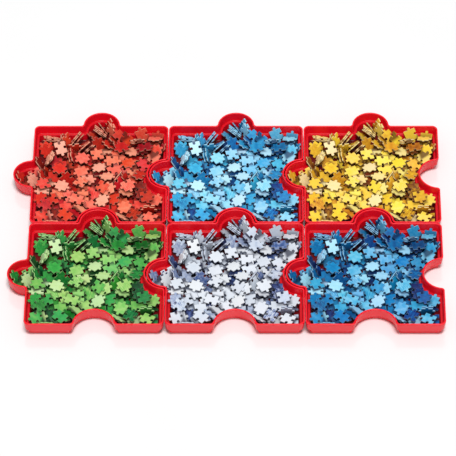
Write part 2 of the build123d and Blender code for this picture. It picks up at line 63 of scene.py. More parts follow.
# outline, middle of the piece in its tray (mm), turns about X, Y and Z, and
# how light its print is, from 0 dark to 100 light
LYING = (
    (3, -74.308, 78.115, 11.740, -55.592, 8.277, -77.698, 32),
    (4, -73.845, 79.343, 13.697, -55.592, 8.277, -77.542, 34),
    (5, -73.861, 81.111, 14.988, -55.592, 8.277, 100.002, 35),
    (0, -73.828, 83.447, 15.436, -55.592, 8.277, -78.707, 37),
    (3, -33.928, 78.982, 14.361, -45.712, -51.112, 34.854, 34),
    (4, -37.652, 80.123, 16.448, -45.712, -51.112, 126.800, 22),
    (4, -39.102, 81.290, 17.610, -45.712, -51.112, 33.803, 29),
    (3, -46.003, 46.226, 14.086, -12.117, 71.575, 11.103, 37),
    (0, -41.914, 46.097, 15.559, -12.117, 71.575, -171.946, 36),
    (1, -17.741, 58.790, 14.175, -48.070, -41.561, -65.067, 30),
    (3, -20.244, 59.427, 14.470, -48.070, -41.561, -152.295, 26),
    (1, -56.758, 21.087, 11.524, 11.936, 1.245, 97.931, 40),
    (3, -56.751, 20.534, 13.618, 11.936, 1.245, 97.325, 40),
    (0, -57.386, 21.173, 15.979, 11.936, 1.245, -170.044, 40),
    (0, -57.310, 19.933, 17.926, 11.936, 1.245, 10.306, 40),
    (0, -59.437, 59.027, 18.609, 28.161, 10.795, -162.377, 90),
    (7, -59.868, 57.504, 20.384, 28.161, 10.795, 106.467, 90),
    (0, -75.038, 39.604, 14.747, -12.556, -57.118, -103.175, 90),
    (7, -76.791, 40.548, 15.841, -12.556, -57.118, 74.966, 90),
    (2, 54.029, 73.404, 13.269, -57.748, -6.778, 76.537, 32),
    (1, 53.578, 75.317, 14.220, -57.748, -6.778, -103.827, 24),
    (3, 52.991, 76.741, 15.914, -57.748, -6.778, -14.465, 22),
    (3, -3.191, 92.556, 13.975, -48.533, 36.846, 145.660, 25),
    (5, -1.358, 93.435, 14.988, -48.533, 36.846, 56.938, 25),
    (2, -1.268, 95.212, 16.957, -48.533, 36.846, 58.792, 38),
    (2, 19.493, 75.836, 11.719, -17.117, 38.960, -127.023, 36),
    (2, 20.271, 77.143, 13.568, -17.117, 38.960, 143.290, 27),
    (5, 73.362, -64.650, 14.512, -76.000, 0.000, 91.631, 37),
    (7, 74.649, -62.752, 15.843, -76.000, 0.000, -92.854, 33),
    (0, 28.331, -8.098, 11.365, 39.660, 43.417, -44.342, 37),
    (4, -52.971, -79.961, 10.398, 28.420, 15.365, 25.257, 36),
    (5, 24.351, 3.803, 12.709, -42.490, -51.716, -111.733, 40),
    (3, 32.765, 53.104, 3.390, 0.001, -0.001, -140.571, 50),
    (0, 41.606, -56.920, 4.896, 3.169, -6.375, -87.537, 25),
    (0, 87.823, 60.081, 12.408, -2.716, -50.111, 110.992, 25),
    (5, 70.428, 46.323, 5.399, -10.414, -2.002, 164.122, 35),
    (2, 53.043, 14.007, 6.749, 20.768, 11.407, 118.568, 20),
    (3, -18.096, -46.218, 7.323, 7.959, -3.364, 16.586, 40),
    (6, -13.300, 76.512, 5.366, 5.536, -10.074, -56.419, 15),
    (1, -13.005, 35.790, 5.294, -1.359, 8.815, -150.713, 40),
    (5, -73.313, -10.394, 6.085, -11.727, -6.985, -98.571, 35),
    (7, -87.541, -9.776, 6.024, 171.906, 17.237, -64.471, 40),
    (2, 59.963, -27.375, 6.999, -5.644, -4.799, -114.700, 25),
    (0, 8.722, -29.704, 6.351, 9.268, -1.423, -91.556, 60),
    (6, 60.361, 91.648, 13.391, -110.836, -0.048, 66.092, 60),
    (1, 78.479, -49.403, 6.360, 0.200, 6.327, 161.288, 25),
    (6, -88.923, 32.185, 12.502, -4.960, 54.947, 159.106, 15),
    (1, -100.308, -1.779, 12.915, 32.805, 52.849, 114.043, 15),
    (6, 74.246, -40.891, 4.663, 0.185, 6.326, -27.959, 40),
    (0, 16.514, -47.762, 6.339, 8.565, -10.628, -38.786, 50),
    (2, 52.442, 49.324, 7.378, 161.929, 0.450, -158.389, 15),
    (0, 10.130, -9.117, 10.226, 1.819, -20.534, -174.607, 50),
    (3, 26.800, 34.659, 5.570, 0.000, -0.000, 80.182, 15),
    (1, -78.603, -58.675, 7.321, 18.242, 6.915, 159.025, 15),
    (4, -76.332, 15.583, 9.209, -3.226, 45.541, 94.522, 25),
    (5, -34.827, 22.153, 6.886, 8.542, -4.085, -5.880, 30),
    (6, -36.935, -48.932, 6.457, 3.428, -2.565, 91.350, 20),
    (4, 46.228, -25.798, 3.390, 0.001, -0.001, 114.992, 30),
    (3, -13.717, -27.824, 4.537, -176.039, -4.269, -20.064, 60),
    (1, -72.474, -44.014, 7.697, 13.660, 15.003, -60.459, 40),
    (4, 54.717, -80.879, 3.385, 0.023, 0.008, -92.915, 40),
    (0, 27.067, 85.567, 15.665, 23.238, 16.028, 44.350, 35),
    (1, -48.219, -0.270, 13.514, -116.709, -14.435, -129.717, 20),
    (7, -28.331, 72.425, 11.456, -37.269, -28.426, -30.986, 35),
    (2, 33.583, -75.030, 8.947, -35.195, 27.366, -32.381, 15),
    (1, -60.934, -29.637, 5.972, 0.647, 1.856, 132.026, 50),
    (4, 11.405, 106.682, 11.118, -113.435, 54.665, 109.578, 20),
    (0, 27.435, -57.949, 8.218, -166.854, 4.910, 87.343, 40),
    (6, 53.600, -9.929, 8.996, 169.945, 26.492, 145.142, 40),
    (2, -36.706, -74.525, 15.852, 0.272, 12.389, 124.032, 25),
    (0, -4.629, -13.490, 5.912, -8.021, 9.271, -85.333, 40),
    (3, -56.505, -48.623, 6.326, 12.104, 6.396, -157.215, 35),
    (1, -76.071, -79.179, 5.965, 12.689, 0.437, 66.506, 35),
    (2, -67.942, -89.211, 16.218, -52.850, 1.082, -36.378, 40),
    (2, 5.014, 7.056, 4.809, 5.493, -4.286, -0.855, 25),
    (7, -29.785, 2.876, 5.556, -0.385, -0.981, -155.509, 20),
    (1, -83.184, 5.640, 13.111, 174.071, -52.495, 175.113, 25),
    (1, -3.556, -49.138, 4.509, 5.556, 2.294, 90.106, 35),
    (2, -43.100, -16.839, 5.570, -180.000, -0.000, -51.489, 25),
    (5, -26.179, 36.339, 3.390, 0.000, 0.001, 126.668, 20),
    (0, 70.747, 59.896, 5.438, 170.806, 1.384, -8.585, 50),
    (6, -9.666, 1.844, 7.572, -4.614, 5.824, -45.803, 15),
    (6, 34.047, -23.951, 8.044, -13.654, 4.929, -135.544, 30),
    (5, -59.701, 13.599, 21.306, 0.186, 5.320, 42.138, 40),
    (1, -23.481, -10.893, 3.390, -0.001, -0.001, -145.460, 60),
    (1, 35.215, 82.270, 9.228, 23.275, 15.994, -46.373, 50),
    (3, 50.154, 64.762, 6.727, 166.389, -10.234, -173.798, 25),
    (2, -2.180, 18.062, 7.487, -16.673, 1.014, 11.661, 15),
    (1, -65.954, -67.357, 6.396, 14.374, -0.559, -117.235, 15),
    (4, 82.796, 86.815, 9.343, -133.433, 8.296, -172.225, 60),
    (6, 6.496, 33.341, 7.426, -9.888, -8.299, 68.147, 40),
    (4, -37.854, 27.996, 5.335, -171.458, 4.085, -33.958, 25),
    (5, -55.729, 79.539, 12.513, -167.863, -60.694, 77.170, 25),
    (3, 33.692, -44.196, 6.910, 3.109, -6.500, 7.761, 50),
    (5, 39.310, 2.584, 10.941, 176.609, -45.165, 20.210, 20),
    (7, 75.926, -81.073, 3.391, 179.997, -0.001, 87.568, 25),
    (3, -81.362, 64.333, 12.258, -128.705, -9.939, -48.604, 50),
    (1, -3.740, 105.105, 12.898, -47.906, 37.135, -90.392, 40),
    (3, -31.963, -59.092, 3.390, -0.001, -0.000, 82.084, 25),
    (0, 33.005, 63.508, 10.416, -7.945, 35.920, -130.777, 15),
    (1, 35.081, 18.074, 6.906, 26.215, -0.405, -179.943, 50),
    (2, 10.935, 60.012, 8.118, -17.667, -4.821, -20.729, 35),
    (6, 52.781, -50.077, 9.223, -175.261, -5.135, -88.084, 25),
    (2, 63.168, 35.246, 3.390, -0.002, 0.001, -78.975, 25),
    (4, -16.165, 15.086, 3.390, -0.000, -0.000, -83.059, 60),
    (3, 44.451, 32.486, 7.242, 5.707, 6.698, -83.103, 60),
    (7, -41.715, 60.658, 17.448, 99.243, 11.074, 176.338, 40),
    (7, -11.761, 44.870, 7.092, 178.641, -8.815, -30.036, 60),
    (2, -67.501, 2.989, 14.069, -151.369, 7.249, 174.981, 35),
    (2, -80.157, 61.396, 11.796, -128.701, -9.946, -163.157, 35),
    (7, -46.169, 64.222, 3.390, -180.000, -0.000, -146.039, 60),
    (2, -25.228, 66.590, 12.895, -48.070, -41.561, -28.002, 50),
    (3, 1.709, 107.708, 10.062, -47.702, 53.210, -126.085, 25),
    (2, 13.007, 109.651, 14.167, 66.560, -54.668, -39.855, 50),
    (0, -115.252, 2.051, 11.833, -165.367, -46.301, 145.424, 25),
    (0, 80.084, 72.724, 11.260, -7.497, -20.955, -6.700, 60),
    (5, 81.544, 55.248, 15.061, 16.826, -27.763, -71.277, 50),
    (3, 78.502, 43.514, 12.884, 16.454, -25.644, 51.873, 65),
    (4, 63.920, 31.972, 9.208, 21.958, 6.712, 29.657, 40),
    (5, 40.948, 33.320, 12.652, -4.794, -6.607, -68.598, 45),
    (5, 44.862, 57.538, 11.742, -13.616, 10.251, 172.713, 75),
    (6, 5.127, 59.263, 10.139, -17.663, -4.825, 22.706, 80),
    (4, -17.207, 41.450, 10.225, -1.359, 8.815, -36.868, 45),
    (5, -2.101, 27.057, 9.596, -9.073, -8.085, -46.223, 85),
    (1, 17.403, 36.234, 13.846, 13.936, 11.558, 5.364, 60),
    (2, -17.905, 1.602, 10.633, -4.608, 5.816, 11.791, 75),
    (5, 10.629, 4.437, 13.958, -16.572, -0.694, 77.784, 75),
    (4, 48.865, 10.711, 11.734, 4.334, 5.118, -171.891, 65),
    (7, 20.265, 20.568, 11.030, 29.312, 1.392, -150.702, 50),
    (5, -98.804, -4.451, 14.467, 29.363, 50.037, 26.339, 80),
    (5, -55.816, -15.068, 14.325, 0.704, 5.143, 162.153, 80),
    (0, -23.921, -34.369, 11.019, 8.314, -2.529, 3.572, 60),
    (1, -9.190, -25.747, 9.793, 19.290, -7.311, -50.496, 50),
    (5, 4.556, -42.714, 11.771, 7.203, -21.630, 19.347, 85),
    (2, 13.175, -21.745, 13.705, 16.876, -23.218, 100.401, 70),
    (5, 38.703, -26.358, 12.430, -17.983, 16.512, -153.448, 70),
    (0, 60.685, -21.275, 13.473, 16.759, -5.361, 1.960, 15),
    (5, 82.322, -42.226, 11.914, 6.776, -11.581, 154.310, 60),
    (1, 60.808, -51.118, 10.622, 4.713, 5.076, -175.307, 50),
    (4, -69.866, -42.745, 13.503, 9.396, -1.585, 110.646, 40),
    (7, -82.626, -28.065, 15.827, -10.549, 1.425, 0.793, 90),
    (2, -48.599, -57.452, 10.958, 8.476, -0.502, 99.396, 50),
    (7, -53.710, -15.277, 9.269, 5.208, 8.353, -32.117, 60),
    (3, -77.587, -72.795, 9.647, 12.686, 0.441, 12.034, 75),
    (5, -27.479, -61.958, 14.201, -25.005, 22.992, -160.370, 70),
    (1, -11.689, -52.742, 9.448, 15.323, 3.767, 128.946, 60),
    (2, 34.560, -74.369, 10.866, -35.196, 27.365, -59.835, 75),
    (5, 55.818, -75.297, 5.569, 0.022, -0.005, -45.568, 85),
    (4, 76.350, -77.543, 6.597, 179.691, -7.511, 63.596, 70),
    (1, 7.774, -51.131, 9.421, 7.307, -22.992, -85.904, 30),
    (5, 37.755, -56.797, 12.112, 10.245, -5.723, -28.613, 60),
    (1, -76.936, -12.140, 12.644, 9.053, 5.461, 66.012, 90),
    (1, -4.200, 71.108, 13.201, 50.802, 19.185, 109.428, 25),
    (4, 37.221, 82.132, 14.273, 25.130, 33.521, 152.189, 40),
    (1, -33.415, -40.903, 12.846, 7.675, 2.266, 162.018, 60),
    (1, 21.532, -39.743, 12.208, -1.570, -17.809, -94.725, 40),
    (7, 3.503, -16.387, 13.550, 16.930, -22.898, 142.036, 50),
    (1, -43.216, -35.105, 11.625, 9.323, 7.593, -69.145, 60),
    (1, 25.317, 46.805, 11.472, 7.746, 15.280, -30.969, 60),
    (1, 46.035, -6.566, 13.919, 16.919, 20.189, -120.332, 50),
    (5, -28.409, 19.081, 9.291, 7.849, -2.470, -67.948, 60),
    (1, -48.255, -79.148, 19.167, 11.099, -4.028, -40.076, 40),
    (5, -60.687, -28.163, 11.922, 2.737, 6.704, -77.730, 60),
    (2, 12.944, 100.877, 12.660, -113.434, 54.664, 35.613, 80),
    (1, -60.702, 58.296, 6.027, 9.513, 3.008, -32.282, 50),
    (2, -64.938, 38.450, 6.486, 15.738, 10.212, -169.493, 35),
    (5, -27.067, 39.802, 16.171, 3.443, 1.718, -56.243, 60),
    (4, 82.124, -79.171, 11.668, 6.199, -10.020, 89.193, 30),
    (4, 51.405, -72.373, 13.546, 5.040, -0.500, -27.104, 25),
    (7, 61.278, 62.616, 12.489, -1.816, 2.362, 89.763, 20),
    (3, -84.054, -46.085, 17.785, -169.923, 1.430, 172.058, 35),
    (5, 11.915, 71.419, 13.064, 161.794, -27.602, 90.945, 30),
    (7, -81.881, -76.990, 15.027, 27.251, 15.853, 16.282, 45),
    (4, -107.678, -7.096, 9.351, -152.097, -39.094, -141.366, 60),
    (4, -10.806, 90.731, 10.214, -19.568, 25.667, 43.260, 45),
    (4, -5.518, 47.472, 15.602, 2.910, 7.263, 14.828, 60),
    (5, -51.756, 30.456, 8.620, 5.329, -6.173, -20.962, 45),
    (3, 30.246, 60.771, 17.825, 3.289, 11.332, 121.965, 30),
    (3, 63.909, -33.815, 15.774, 14.215, 3.745, 160.343, 20),
    (4, 75.934, -80.227, 15.005, 0.076, -0.048, 61.777, 60),
    (2, 78.522, 80.744, 16.045, -29.766, 0.162, -7.575, 60),
    (7, -28.363, -7.938, 14.594, -3.496, 5.600, -119.003, 60),
    (2, 69.024, -39.327, 17.263, 13.442, -1.778, 11.422, 30),
    (0, -96.114, 12.768, 9.890, 38.343, -1.948, -63.438, 50),
    (3, -61.996, 12.620, 6.368, -5.316, 12.686, 109.429, 45),
    (2, -81.947, -14.647, 17.688, 0.180, 9.728, -156.808, 50),
    (0, 64.777, 62.118, 17.125, -3.336, -3.846, -80.967, 20),
    (3, 41.227, -17.393, 17.774, 15.525, 12.433, -57.290, 60),
    (2, -80.155, -57.411, 18.371, 20.993, 10.042, 58.028, 30),
    (0, 58.164, 4.691, 16.763, -12.299, 9.013, -21.107, 30),
    (4, -51.655, 77.698, 16.193, 40.838, 56.228, -145.828, 45),
)

# dark to light print colours of each heap, and the tint of its board edges
HEAPS = {
    "red_pieces": ("left", "back", [
        (0.13, 0.002, 0.001), (0.42, 0.006, 0.004), (0.70, 0.030, 0.014),
        (0.80, 0.13, 0.075), (0.84, 0.27, 0.165), (0.85, 0.38, 0.26)], (0.84, 0.44, 0.27), 0.006),
    "light_blue_pieces": ("center", "back", [
        (0.003, 0.030, 0.15), (0.008, 0.17, 0.42), (0.050, 0.43, 0.70),
        (0.22, 0.58, 0.80), (0.42, 0.72, 0.86), (0.50, 0.77, 0.90)], (0.42, 0.74, 0.90), 0.014),
    "yellow_pieces": ("right", "back", [
        (0.13, 0.020, 0.002), (0.58, 0.24, 0.010), (0.86, 0.57, 0.035),
        (0.88, 0.65, 0.065), (0.87, 0.70, 0.23), (0.89, 0.73, 0.37)], (0.90, 0.76, 0.36), 0.016),
    "green_pieces": ("left", "front", [
        (0.001, 0.032, 0.006), (0.005, 0.14, 0.020), (0.040, 0.36, 0.060),
        (0.22, 0.50, 0.11), (0.43, 0.63, 0.22), (0.49, 0.70, 0.35)], (0.46, 0.72, 0.28), 0.018),
    "white_pieces": ("center", "front", [
        (0.006, 0.010, 0.055), (0.060, 0.11, 0.30), (0.50, 0.57, 0.68),
        (0.59, 0.64, 0.71), (0.64, 0.68, 0.74), (0.70, 0.73, 0.76)], (0.66, 0.71, 0.78), 0.006),
    "dark_blue_pieces": ("right", "front", [
        (0.001, 0.010, 0.080), (0.002, 0.065, 0.23), (0.005, 0.22, 0.49),
        (0.065, 0.37, 0.62), (0.26, 0.57, 0.77), (0.37, 0.67, 0.87)], (0.30, 0.62, 0.86), 0.014),
}
# how light a print has to be to reach each of its heap's colours
STEPS = {"other": [0.02, 0.20, 0.42, 0.60, 0.78, 0.97], "white": [0.02, 0.11, 0.23, 0.40, 0.62, 0.92]}
BODY = {
    "red_pieces": "back_left", "light_blue_pieces": "back_center",
    "yellow_pieces": "back_right", "green_pieces": "front_left",
    "white_pieces": "front_center", "dark_blue_pieces": "front_right",
}


# --------------------------------------------------------------- node helpers
def new_material(name):
    mat = bpy.data.materials.new(name)
    mat.use_nodes = True
    nt = mat.node_tree
    nt.nodes.clear()
    out = nt.nodes.new("ShaderNodeOutputMaterial")
    bsdf = nt.nodes.new("ShaderNodeBsdfPrincipled")
    nt.links.new(bsdf.outputs["BSDF"], out.inputs["Surface"])
    return mat, nt, bsdf


def node(nt, kind, **values):
    n = nt.nodes.new("ShaderNode" + kind)
    for key, value in values.items():
        if hasattr(n, key):
            setattr(n, key, value)
        else:
            n.inputs[key.replace("_", " ")].default_value = value
    return n


def link(nt, a, b):
    nt.links.new(a, b)


def math_node(nt, op, a, b=None, clamp=False):
    n = nt.nodes.new("ShaderNodeMath")
    n.operation = op
    n.use_clamp = clamp
    for i, v in enumerate((a, b)):
        if v is None:
            continue
        if isinstance(v, (int, float)):
            n.inputs[i].default_value = v
        else:
            nt.links.new(v, n.inputs[i])
    return n.outputs[0]


def mix_colour(nt, fac, a, b, blend="MIX"):
    n = nt.nodes.new("ShaderNodeMix")
    n.data_type = "RGBA"
    n.blend_type = blend
    for socket, v in ((n.inputs[0], fac), (n.inputs[6], a), (n.inputs[7], b)):
        if isinstance(v, (int, float)):
            socket.default_value = v
        elif isinstance(v, tuple):
            socket.default_value = (*v, 1.0)
        else:
            nt.links.new(v, socket)
    return n.outputs[2]


def ramp(nt, fac, stops):
    n = nt.nodes.new("ShaderNodeValToRGB")
    els = n.color_ramp.elements
    while len(els) < len(stops):
        els.new(0.5)
    for el, (pos, col) in zip(els, stops):
        el.position = pos
        el.color = (*col, 1.0) if len(col) == 3 else col
    nt.links.new(fac, n.inputs[0])
    return n.outputs[0]


def noise(nt, vector, scale, detail=3.0, rough=0.5, distortion=0.0):
    n = nt.nodes.new("ShaderNodeTexNoise")
    n.inputs["Scale"].default_value = scale
    n.inputs["Detail"].default_value = detail
    n.inputs["Roughness"].default_value = rough
    n.inputs["Distortion"].default_value = distortion
    nt.links.new(vector, n.inputs["Vector"])
    return n.outputs[0]


def bump(nt, height, strength, distance, normal=None):
    n = nt.nodes.new("ShaderNodeBump")
    n.inputs["Strength"].default_value = strength
    n.inputs["Distance"].default_value = distance
    nt.links.new(height, n.inputs["Height"])
    if normal is not None:
        nt.links.new(normal, n.inputs["Normal"])
    return n.outputs[0]


def contact_shade(nt):
    """How open to the light a spot of a piece is: less for buried pieces, least along the outlines of what lies on them."""
    spot = nt.nodes.new("ShaderNodeTexCoord").outputs["Object"]
    weights = nt.nodes.new("ShaderNodeSeparateXYZ")
    link(nt, node(nt, "Attribute", attribute_name="cover_weight").outputs["Vector"], weights.inputs[0])
    shade = node(nt, "Attribute", attribute_name="lit").outputs["Fac"]
    for k in range(3):
        over = nt.nodes.new("ShaderNodeSeparateXYZ")
        link(nt, node(nt, "Attribute", attribute_name="cover_%d" % (k + 1)).outputs["Vector"], over.inputs[0])
        here = nt.nodes.new("ShaderNodeSeparateXYZ")
        link(nt, spot, here.inputs[0])
        dx = math_node(nt, "SUBTRACT", here.outputs[0], over.outputs[0])
        dy = math_node(nt, "SUBTRACT", here.outputs[1], over.outputs[1])
        c = math_node(nt, "COSINE", over.outputs[2])
        s = math_node(nt, "SINE", over.outputs[2])
        u = math_node(nt, "ABSOLUTE", math_node(nt, "ADD", math_node(nt, "MULTIPLY", dx, c), math_node(nt, "MULTIPLY", dy, s)))
        v = math_node(nt, "ABSOLUTE", math_node(nt, "SUBTRACT", math_node(nt, "MULTIPLY", dy, c), math_node(nt, "MULTIPLY", dx, s)))
        reach = node(nt, "MapRange", interpolation_type="SMOOTHSTEP")
        link(nt, math_node(nt, "MAXIMUM", u, v), reach.inputs["Value"])
        for socket, value in (("From Min", 0.0086), ("From Max", 0.0134), ("To Min", 1.0), ("To Max", 0.0)):
            reach.inputs[socket].default_value = value
        dark = math_node(nt, "MULTIPLY", reach.outputs["Result"], weights.outputs[k])
        shade = math_node(nt, "MULTIPLY", shade, math_node(nt, "SUBTRACT", 1.0, dark))
    return shade


# ------------------------------------------------------------------ materials
def tray_plastic():
    mat, nt, bsdf = new_material("tray_plastic")
    geo = nt.nodes.new("ShaderNodeTexCoord").outputs["Object"]
    broad = noise(nt, geo, 9.0, 3.0, 0.5)
    fine = noise(nt, geo, 1400.0, 2.0, 0.5)
    flow = noise(nt, geo, 40.0, 3.0, 0.5, 0.4)
    colour = ramp(nt, broad, [(0.25, (0.79, 0.0018, 0.0120)), (0.75, (0.85, 0.0032, 0.0160))])
    # handling haze: very slightly lighter where the surface is scuffed
    scuff = ramp(nt, flow, [(0.58, (0, 0, 0)), (0.82, (1, 1, 1))])
    colour = mix_colour(nt, math_node(nt, "MULTIPLY", scuff, 0.02), colour, (0.85, 0.12, 0.13))
    # painted shade: the tray's floor and the foot of its inner walls, the up-facing surfaces low in the tray, are
    # darkened almost to black in place of the shadow down among the pieces
    up = nt.nodes.new("ShaderNodeSeparateXYZ")
    link(nt, nt.nodes.new("ShaderNodeNewGeometry").outputs["True Normal"], up.inputs[0])
    place = nt.nodes.new("ShaderNodeSeparateXYZ")
    link(nt, geo, place.inputs[0])
    low = ramp(nt, math_node(nt, "MULTIPLY", place.outputs[2], 40.0), [(0.06, (1, 1, 1)), (0.40, (0.55, 0.55, 0.55)), (0.60, (0, 0, 0))])
    facing = ramp(nt, up.outputs[2], [(0.10, (0, 0, 0)), (0.30, (1, 1, 1))])
    painted_floor_shade = math_node(nt, "MULTIPLY", low, facing)
    colour = mix_colour(nt, math_node(nt, "MULTIPLY", painted_floor_shade, 0.90), colour, (0.010, 0.0003, 0.0006))
    link(nt, colour, bsdf.inputs["Base Color"])
    rough = math_node(nt, "ADD", math_node(nt, "MULTIPLY", flow, 0.10), 0.32)
    link(nt, rough, bsdf.inputs["Roughness"])
    bsdf.inputs["IOR"].default_value = 1.48
    bsdf.inputs["Specular IOR Level"].default_value = 0.45
    bsdf.inputs["Subsurface Weight"].default_value = 0.25
    bsdf.inputs["Subsurface Radius"].default_value = (1.0, 0.12, 0.12)
    bsdf.inputs["Subsurface Scale"].default_value = 0.003
    n1 = bump(nt, fine, 0.03, 0.00003)
    n2 = bump(nt, flow, 0.04, 0.0002, n1)
    link(nt, n2, bsdf.inputs["Normal"])
    return mat


def print_face(name, colours, hue_spread):
    """Printed top of the pieces: a soft photographic print, in the tones of this heap."""
    mat, nt, bsdf = new_material(name)
    attr = node(nt, "Attribute", attribute_name="tone")
    sep = nt.nodes.new("ShaderNodeSeparateColor")
    link(nt, attr.outputs["Color"], sep.inputs[0])
    tone, r1, r2 = sep.outputs[0], sep.outputs[1], sep.outputs[2]
    uv = nt.nodes.new("ShaderNodeUVMap")
    uv.uv_map = "UVMap"
    vec = uv.outputs[0]
    soft = noise(nt, vec, 1.3, 2.0, 0.45, 0.4)
    stretched = nt.nodes.new("ShaderNodeMapping")
    stretched.inputs["Scale"].default_value = (1.0, 5.0, 1.0)
    stretched.inputs["Rotation"].default_value = (0.0, 0.0, 0.6)
    link(nt, vec, stretched.inputs["Vector"])
    streak = noise(nt, stretched.outputs[0], 1.6, 3.0, 0.55, 0.5)
    grain = noise(nt, vec, 40.0, 2.0, 0.6)
    spread = math_node(nt, "ADD", math_node(nt, "MULTIPLY", math_node(nt, "SUBTRACT", tone, 0.5), 1.30), 0.51)
    t = math_node(nt, "ADD", spread, math_node(nt, "MULTIPLY", math_node(nt, "SUBTRACT", soft, 0.5), 0.30))
    amount = math_node(nt, "MULTIPLY", math_node(nt, "GREATER_THAN", r1, 0.74), 0.75)
    t = math_node(nt, "ADD", t, math_node(nt, "MULTIPLY", math_node(nt, "SUBTRACT", streak, 0.5), amount))
    t = math_node(nt, "ADD", t, math_node(nt, "MULTIPLY", math_node(nt, "SUBTRACT", grain, 0.5), 0.08), True)
    colour = ramp(nt, t, list(zip(STEPS[name.split("_")[0]] if name.split("_")[0] in STEPS else STEPS["other"], colours)))
    # paler rim where the die cut rolled the paper over: partly wear, partly a painted highlight along the top edge
    edge = node(nt, "Attribute", attribute_name="rim_wear_and_highlight")
    wear_and_highlight = math_node(nt, "MULTIPLY", edge.outputs["Fac"], math_node(nt, "ADD", math_node(nt, "MULTIPLY", grain, 0.5), 0.10))
    colour = mix_colour(nt, wear_and_highlight, colour, (0.86, 0.84, 0.80))
    hsv = nt.nodes.new("ShaderNodeHueSaturation")
    link(nt, math_node(nt, "ADD", math_node(nt, "MULTIPLY", r2, hue_spread * 2), 0.5 - hue_spread), hsv.inputs["Hue"])
    link(nt, colour, hsv.inputs["Color"])
    link(nt, mix_colour(nt, contact_shade(nt), tuple(0.6 * c for c in colours[0]), hsv.outputs[0]), bsdf.inputs["Base Color"])
    link(nt, math_node(nt, "ADD", math_node(nt, "MULTIPLY", grain, 0.15), 0.40), bsdf.inputs["Roughness"])
    bsdf.inputs["Specular IOR Level"].default_value = 0.20
    # linen embossing
    w1 = node(nt, "TexWave", wave_type="BANDS", bands_direction="X", wave_profile="SIN")
    w1.inputs["Scale"].default_value = 9.0
    w1.inputs["Distortion"].default_value = 0.8
    link(nt, vec, w1.inputs["Vector"])
    w2 = node(nt, "TexWave", wave_type="BANDS", bands_direction="Y", wave_profile="SIN")
    w2.inputs["Scale"].default_value = 9.0
    w2.inputs["Distortion"].default_value = 0.8
    link(nt, vec, w2.inputs["Vector"])
    weave = math_node(nt, "ADD", w1.outputs[1], w2.outputs[1])
    link(nt, bump(nt, weave, 0.12, 0.00006), bsdf.inputs["Normal"])
    return mat


def board_edge(name, tint, colours):
    """Cut edge of the pieces: pressed board with a printed sheet on top."""
    mat, nt, bsdf = new_material(name)
    attr = node(nt, "Attribute", attribute_name="tone")
    sep = nt.nodes.new("ShaderNodeSeparateColor")
    link(nt, attr.outputs["Color"], sep.inputs[0])
    uv = nt.nodes.new("ShaderNodeUVMap")
    uv.uv_map = "UVMap"
    sp = nt.nodes.new("ShaderNodeSeparateXYZ")
    link(nt, uv.outputs[0], sp.inputs[0])
    squeezed = nt.nodes.new("ShaderNodeMapping")
    squeezed.inputs["Scale"].default_value = (2.0, 22.0, 1.0)
    link(nt, uv.outputs[0], squeezed.inputs["Vector"])
    ply = noise(nt, squeezed.outputs[0], 3.0, 3.0, 0.6)
    fibre = noise(nt, uv.outputs[0], 60.0, 3.0, 0.7)
    pale = tuple(min(0.92, 0.10 + c) for c in tint)
    dark = tuple(0.70 * c for c in tint)
    t = math_node(nt, "ADD", math_node(nt, "MULTIPLY", ply, 0.8), math_node(nt, "MULTIPLY", sep.outputs[1], 0.35), True)
    colour = ramp(nt, t, [(0.25, dark), (0.48, tint), (0.80, pale)])
    # the printed sheet is pulled down over the upper part of the cut
    sheet = ramp(nt, sp.outputs[1], [(0.046, (0, 0, 0)), (0.060, (1, 1, 1))])
    top = ramp(nt, math_node(nt, "MULTIPLY", sep.outputs[0], 0.8), list(zip([0.02, 0.20, 0.42, 0.60, 0.78, 0.97], colours)))
    colour = mix_colour(nt, math_node(nt, "MULTIPLY", sheet, 0.88), colour, top)
    # painted shade: the foot of the cut is darkened as if in the shadow under the piece, and the whole cut darkens
    # where other pieces lie over it
    painted_foot_shade = ramp(nt, sp.outputs[1], [(0.004, (0.15, 0.15, 0.15)), (0.022, (1, 1, 1))])
    keep = math_node(nt, "MULTIPLY", painted_foot_shade, contact_shade(nt))
    colour = mix_colour(nt, keep, tuple(0.6 * c for c in colours[0]), colour)
    link(nt, colour, bsdf.inputs["Base Color"])
    link(nt, math_node(nt, "ADD", math_node(nt, "MULTIPLY", fibre, 0.2), 0.66), bsdf.inputs["Roughness"])
    bsdf.inputs["Specular IOR Level"].default_value = 0.15
    link(nt, bump(nt, math_node(nt, "ADD", fibre, ply), 0.35, 0.00012), bsdf.inputs["Normal"])
    return mat


def board_back(name, colours):
    """Underside of the pieces: board printed over in the hue of its heap."""
    mat, nt, bsdf = new_material(name)
    attr = node(nt, "Attribute", attribute_name="tone")
    sep = nt.nodes.new("ShaderNodeSeparateColor")
    link(nt, attr.outputs["Color"], sep.inputs[0])
    uv = nt.nodes.new("ShaderNodeUVMap")
    uv.uv_map = "UVMap"
    fibre = noise(nt, uv.outputs[0], 34.0, 4.0, 0.65)
    cloud = noise(nt, uv.outputs[0], 2.5, 2.0, 0.5)
    t = math_node(nt, "ADD", math_node(nt, "MULTIPLY", sep.outputs[0], 0.7), math_node(nt, "MULTIPLY", fibre, 0.12))
    t = math_node(nt, "ADD", t, math_node(nt, "MULTIPLY", math_node(nt, "SUBTRACT", cloud, 0.4), 0.3), True)
    plain = ramp(nt, t, list(zip([0.02, 0.20, 0.42, 0.60, 0.78, 0.97], colours)))
    link(nt, mix_colour(nt, contact_shade(nt), tuple(0.6 * c for c in colours[0]), plain), bsdf.inputs["Base Color"])
    link(nt, math_node(nt, "ADD", math_node(nt, "MULTIPLY", fibre, 0.15), 0.62), bsdf.inputs["Roughness"])
    bsdf.inputs["Specular IOR Level"].default_value = 0.15
    link(nt, bump(nt, fibre, 0.2, 0.0001), bsdf.inputs["Normal"])
    return mat


